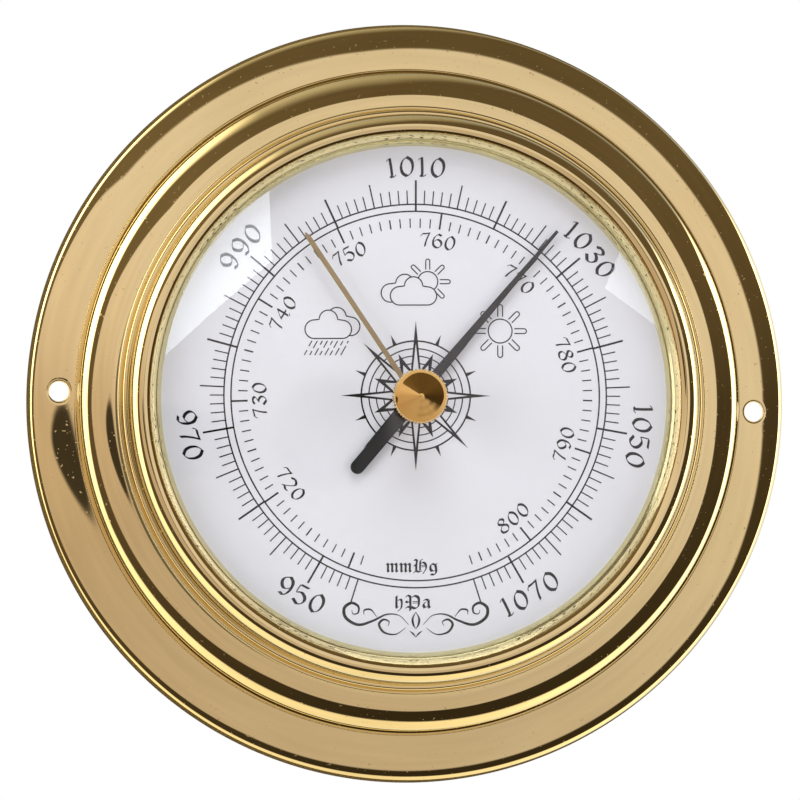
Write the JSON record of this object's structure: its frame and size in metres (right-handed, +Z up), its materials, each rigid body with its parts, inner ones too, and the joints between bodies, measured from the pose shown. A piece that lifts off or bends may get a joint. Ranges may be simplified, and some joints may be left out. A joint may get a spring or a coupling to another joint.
{
  "type": "wall weather station",
  "caption": "Round brass ship's-style aneroid weather station: stepped flange, domed glass, white pressure dial, black pointer and a knob-turned set hand.",
  "frame": {"origin": "middle of the flat back, on the plane of the wall", "axes": "+Y points into the wall and the dial faces -Y; +Z is up, through the top figure of the dial; +X is to the right as one looks at the dial"},
  "size_m": [0.115, 0.0284, 0.115],
  "materials": {
    "polished_brass": "mirror polished and lacquered",
    "turned_brass": "finely turned, with lathe marks",
    "hand_brass": "dull bronzed brass",
    "cup_brass": "satin, as drawn",
    "movement_brass": "straight grained",
    "capsule_metal": "pale satin copper alloy",
    "steel": "satin",
    "blued_steel": "blued",
    "gasket_rubber": "matt",
    "clear_glass": "clear and polished",
    "dial_white": "white satin enamel with black print",
    "black_lacquer": "black lacquer",
    "fibre": "vulcanised fibre"
  },
  "bodies": {
    "case": {"case_flange": "polished_brass", "bezel": "polished_brass", "glass_gasket": "gasket_rubber", "glass_lens": "clear_glass", "reveal_ring": "polished_brass", "dial_plate": "dial_white", "dial_seat_ring": "cup_brass", "rear_cup": "cup_brass", "movement_base": "movement_brass", "base_screws": "steel", "capsule_stud": "movement_brass", "capsule_lower": "capsule_metal", "capsule_upper": "capsule_metal", "lever_bracket": "steel", "lever_pin": "steel", "rocker_bracket": "steel", "bracket_screws": "steel", "bridge_pillars": "movement_brass", "lower_bridge": "movement_brass", "bridge_spacers": "movement_brass", "upper_bridge": "movement_brass", "bridge_screws": "steel", "hairspring": "blued_steel", "hairspring_stud": "steel", "glass_bush": "turned_brass", "bush_washer": "fibre", "bush_nut": "turned_brass", "friction_washer": "steel"},
    "capsule_middle": {"capsule_head": "capsule_metal"},
    "lever": {"main_lever": "steel", "link_pin": "steel"},
    "link_bar": {"link": "steel"},
    "rocker": {"rocking_shaft": "steel"},
    "sector": {"toothed_sector": "movement_brass", "sector_arbor": "steel"},
    "hand": {"pinion_arbor": "steel", "pointer_bush": "turned_brass", "pointer": "black_lacquer"},
    "set_group": {"set_hand": "hand_brass", "knob_spindle": "turned_brass", "knob": "turned_brass"},
    "adjuster": {"adjusting_screw": "steel"}
  },
  "joints": [
    {"name": "pointer_turn", "type": "hinge", "parent": "case", "child": "hand", "pos_m": [0, 0, 0], "axis": [0, -1, 0], "range_deg": [-122.2, 202.8], "stiffness_Nm_per_rad": 0.00002},
    {"name": "sector_turn", "type": "hinge", "parent": "case", "child": "sector", "pos_m": [0.00625, 0, 0.021], "axis": [0, -1, 0], "range_deg": [-12.56, 7.58]},
    {"name": "rocker_turn", "type": "hinge", "parent": "case", "child": "rocker", "pos_m": [0, -0.0049, 0.021], "axis": [1, 0, 0], "range_deg": [-12.56, 7.58]},
    {"name": "lever_turn", "type": "hinge", "parent": "case", "child": "lever", "pos_m": [0, -0.0082, -0.005], "axis": [1, 0, 0], "range_deg": [-1.01, 1.66]},
    {"name": "link_turn", "type": "hinge", "parent": "lever", "child": "link_bar", "pos_m": [0, -0.0082, 0.018], "axis": [1, 0, 0], "range_deg": [-1.66, 1.01]},
    {"name": "capsule_slide", "type": "slide", "parent": "case", "child": "capsule_middle", "axis": [0, -1, 0], "range_m": [-0.000087012, 0.00014374]},
    {"name": "knob_turn", "type": "hinge", "parent": "case", "child": "set_group", "pos_m": [0, 0, 0], "axis": [0, -1, 0], "continuous": true},
    {"name": "adjuster_turn", "type": "hinge", "parent": "case", "child": "adjuster", "pos_m": [-0.01431, 0, -0.01482], "axis": [0, -1, 0], "range_deg": [-180, 180]}
  ],
  "couplings": [
    {"joint": "sector_turn", "follows": "pointer_turn", "ratio": -0.061224},
    {"joint": "rocker_turn", "follows": "pointer_turn", "ratio": -0.061224},
    {"joint": "lever_turn", "follows": "pointer_turn", "ratio": 0.0079858},
    {"joint": "link_turn", "follows": "pointer_turn", "ratio": -0.0079858},
    {"joint": "capsule_slide", "follows": "pointer_turn", "m_per_rad": 0.000039929}
  ]
}
